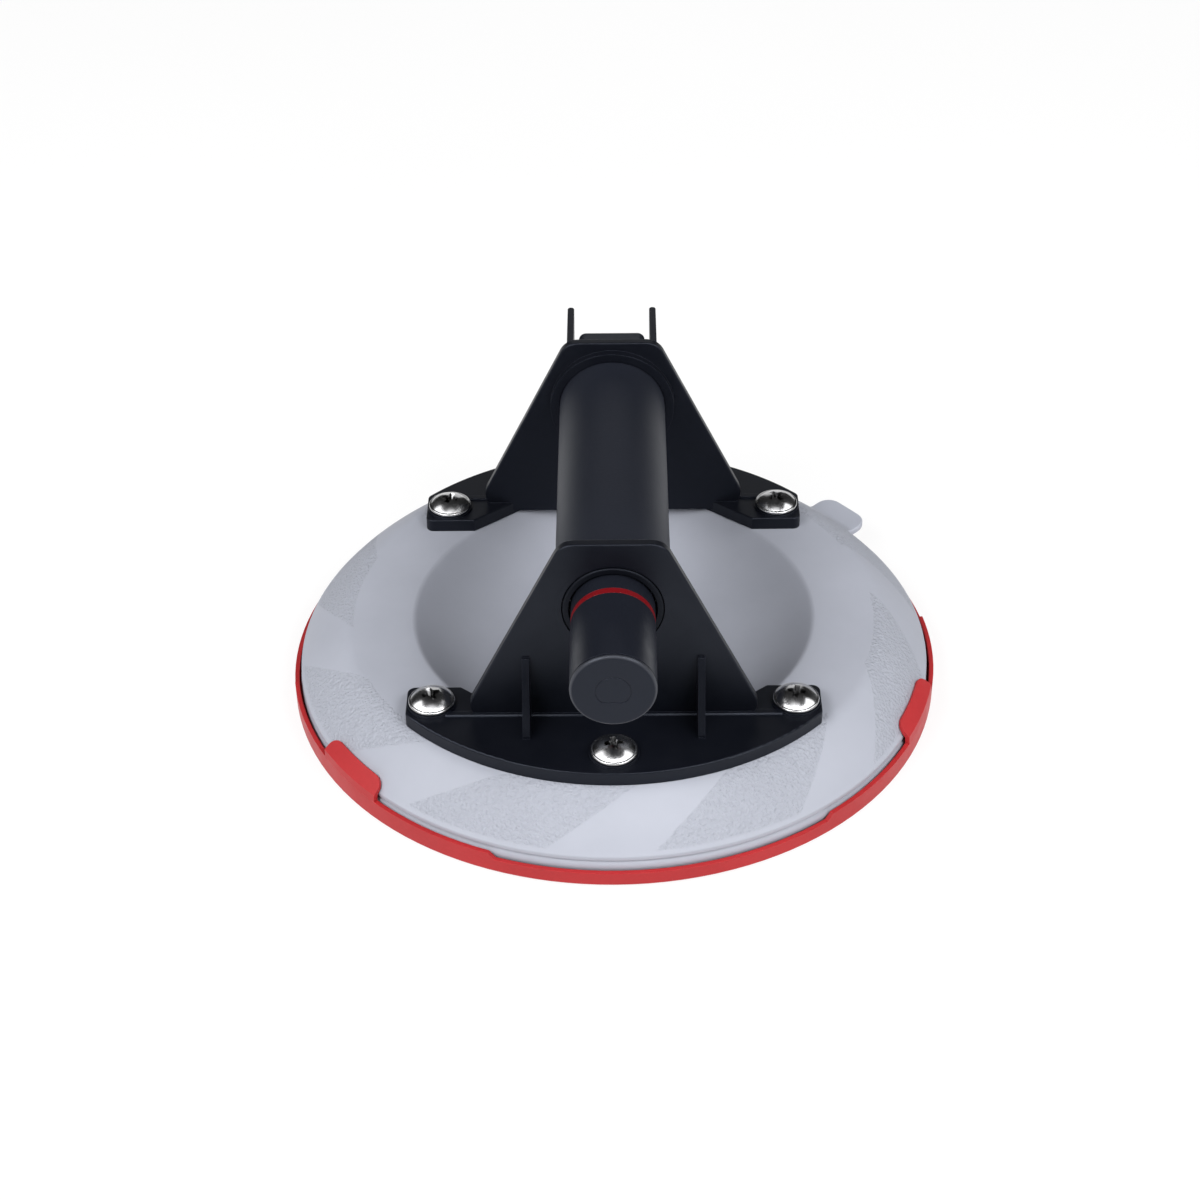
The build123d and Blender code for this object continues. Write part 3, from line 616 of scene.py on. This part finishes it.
pad = solid("pad_moulding", revolved(pad_outline(), 240))
tab = solid("tab", release_tab(), Matrix.Rotation(math.radians(TAB_ANGLE), 4, "Z"))
combine(pad, tab, "UNION")
boss = circle(PORT_BOSS_R * MM, 48, (PORT[0] * MM, PORT[1] * MM))
boss_low = (PAD_TOP - WALL - 1.0) * MM
boss_high = (PAD_TOP - 0.02) * MM
combine(pad, solid("boss", tapered_prism(boss, boss, boss_low, boss_high)), "UNION")
for x, y in [*screw_places(-1), *screw_places(1), PORT]:
    hole_r = PORT_HOLE_R if (x, y) == PORT else SCREW_HOLE_R
    hole = circle(hole_r * MM, 32, (x * MM, y * MM))
    combine(pad, solid("hole", tapered_prism(hole, hole, 0.0, PAD_TOP * MM + MM)), "DIFFERENCE")
for vert in pad.data.vertices:
    outwards = (math.hypot(vert.co.x, vert.co.y) / MM - UNDERCUT_R) / (LIP_R - UNDERCUT_R)
    backwards = math.sin(math.atan2(vert.co.y, vert.co.x))
    if outwards > 0 and backwards > 0:
        vert.co.z += RIM_LIFT * MM * backwards * outwards ** 1.5
smooth(pad, 24)
pad.data.materials.append(rubber)
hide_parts("suction_pad")
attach(pad, "lifter")

# --- pan-head screws ------------------------------------------------------------------------
# Sizes are in millimetres.
HEAD_R = 7.1
HEAD_RIM = 0.5
EDGE_SOFT = 0.7
RECESS_REACH = 3.2
RECESS_HALF = 0.85
RECESS_DEPTH = 2.7
# a cross's reach, half width and corner cut, at the recess's floor and at its mouth
RECESS_FLOOR = (RECESS_REACH * 0.45, RECESS_HALF * 0.62, 0.15)
RECESS_MOUTH = (RECESS_REACH * 1.10, RECESS_HALF * 1.1, 0.35)
SCREW_R = 2.9
SEAT_RISE = 5.0             # the heads' seats stand this far over the brackets' underside


def cross(reach, half, chamfer):
    """The outline of a cross recess, given in millimetres, with its inner corners cut."""
    points = []
    for quarter in range(4):
        turn = Matrix.Rotation(math.radians(90 * quarter), 2)
        for point in ((reach, -half), (reach, half), (half + chamfer, half), (half, half + chamfer)):
            points.append(tuple(turn @ Vector(point)))
    return [(x * MM, y * MM) for x, y in points]


def pan_screw(head_height, length):
    """One screw standing on z = 0, its head above and its shank below."""
    cap_r = (HEAD_R ** 2 + (head_height - HEAD_RIM) ** 2) / (2 * (head_height - HEAD_RIM))
    edge_angle = math.degrees(math.asin((HEAD_R - EDGE_SOFT) / cap_r))
    dome = arc((0.0, head_height - cap_r), cap_r, 90 - edge_angle, 90, 16)
    edge = rounded_corner((HEAD_R, HEAD_RIM), (HEAD_R, dome[0][1] - 0.1), dome[0], 6)
    dome = edge + dome[1:]
    outline = [(0.0, -length), (SCREW_R - 0.5, -length), (SCREW_R, -length + 0.6)]
    outline += [(SCREW_R, 0.0), (HEAD_R - 0.3, 0.0), (HEAD_R - 0.05, 0.25), *dome]
    outline = [(max(r, 0.0) * MM, z * MM) for r, z in outline]
    outline[-1] = (0.0, head_height * MM)
    screw = solid("screw", revolved(outline, 72))
    floor_z = (head_height - RECESS_DEPTH) * MM
    mouth_z = (head_height + 0.5) * MM
    tool = tapered_prism(cross(*RECESS_FLOOR), cross(*RECESS_MOUTH), floor_z, mouth_z)
    combine(screw, solid("recess", tool), "DIFFERENCE")
    return screw


# how far each screw is turned, in degrees, in the order of screw_places
SPINS = {-1: (24, -12, 8), 1: (-20, 34, 5)}
for group_name, side in (("front_bracket_screws", -1), ("rear_bracket_screws", 1)):
    low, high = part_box(group_name)
    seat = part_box("front_bracket")[0].z + SEAT_RISE * MM
    one = pan_screw((high.z - seat) / MM, (seat - low.z) / MM)
    group = bmesh.new()
    for (x, y), spin in zip(screw_places(side), SPINS[side]):
        copy = one.data.copy()
        place = Matrix.Translation((x * MM, y * MM, seat)) @ Matrix.Rotation(math.radians(spin), 4, "Z")
        copy.transform(place)
        group.from_mesh(copy)
    bpy.data.objects.remove(one)
    screws = solid(group_name.replace("bracket_screws", "pan_screws"), group)
    smooth(screws, 28)
    screws.data.materials.append(chrome)
    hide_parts(group_name)
    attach(screws, "lifter")

# --- studio ---------------------------------------------------------------------------------
FLOOR_HALF = 30.0
bm = bmesh.new()
bmesh.ops.create_grid(bm, x_segments=8, y_segments=8, size=FLOOR_HALF)
floor = solid("floor", bm, Matrix.Translation((0, 0, cad_low.z - 0.1 * MM)))
floor.data.materials.append(floor_material())
floor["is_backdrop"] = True

# name, bearing from the front and height (degrees), width, depth, power (watts)
LIGHTS = (
    ("front_left", -45, 40, 0.9, 0.9, 17.4),
    ("front_right", 45, 40, 0.9, 0.9, 16.4),
    ("left_box", -90, 40, 0.9, 0.9, 6.4),
    ("right_box", 90, 40, 0.9, 0.9, 6.8),
    ("low_rear", 180, 12, 0.9, 0.9, 2.2),
    ("high_front", 0, 65, 0.8, 0.8, 2.2),
    ("edge_strip", 0, 56, 1.4, 0.14, 9.0),
)
LIGHT_DISTANCE = 1.6
WORLD_GLOW = 0.02          # the world's strength as a light
aim = Vector((0, 0, (cad_low.z + cad_high.z) / 2))
for name, bearing_degrees, height, width, depth, power in LIGHTS:
    lamp = bpy.data.lights.new(name, "AREA")
    lamp.shape = "RECTANGLE"
    lamp.size = width
    lamp.size_y = depth
    lamp.energy = power
    rig = bpy.data.objects.new(name, lamp)
    turn = math.radians(bearing_degrees)
    rise = math.radians(height)
    away = Vector((math.sin(turn) * math.cos(rise), -math.cos(turn) * math.cos(rise), math.sin(rise)))
    rig.location = aim + away * LIGHT_DISTANCE
    rig.rotation_euler = (-away).to_track_quat("-Z", "Y").to_euler()
    # the strip only draws the highlights on edges
    rig.visible_diffuse = name != "edge_strip"
    bpy.context.scene.collection.objects.link(rig)

world = bpy.data.worlds.new("studio")
world.use_nodes = True
backdrop = world.node_tree.nodes["Background"]
backdrop.inputs["Color"].default_value = (1.0, 1.0, 1.0, 1.0)
# pale behind the object, but nearly dark as a light, because the lamps do the lighting
seen = node(world.node_tree, "LightPath").outputs["Is Camera Ray"]
strength = node(
    world.node_tree, "MapRange", ("Value", seen), ("To Min", WORLD_GLOW), ("To Max", FLOOR_GLOW),
)
world.node_tree.links.new(strength.outputs["Result"], backdrop.inputs["Strength"])
bpy.context.scene.world = world
bpy.context.scene.view_settings.view_transform = "Standard"

# --- camera ---------------------------------------------------------------------------------
VIEW_TARGET = Vector((0, 0, 40 * MM))
VIEW_DISTANCE = 0.750
VIEW_HEIGHT = 0.6337       # angles in radians
VIEW_TURN = 0.0028
VIEW_ROLL = -0.0086
SENSOR = 36.0              # millimetres, like the lens
LENS = 70.4
SHIFT_X = -0.0110
SHIFT_Y = -0.0268
camera_data = bpy.data.cameras.new("camera")
camera_data.sensor_width = SENSOR
camera_data.lens = LENS
camera_data.shift_x = SHIFT_X
camera_data.shift_y = SHIFT_Y
camera = bpy.data.objects.new("camera", camera_data)
back = Vector((
    math.sin(VIEW_TURN) * math.cos(VIEW_HEIGHT),
    -math.cos(VIEW_TURN) * math.cos(VIEW_HEIGHT),
    math.sin(VIEW_HEIGHT),
))
right = Vector((math.cos(VIEW_TURN), math.sin(VIEW_TURN), 0.0))
up = back.cross(right)
turned = Matrix((right, up, back)).transposed() @ Matrix.Rotation(VIEW_ROLL, 3, "Z")
camera.matrix_world = Matrix.Translation(VIEW_TARGET + back * VIEW_DISTANCE) @ turned.to_4x4()
bpy.context.scene.collection.objects.link(camera)
bpy.context.scene.camera = camera

low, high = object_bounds()
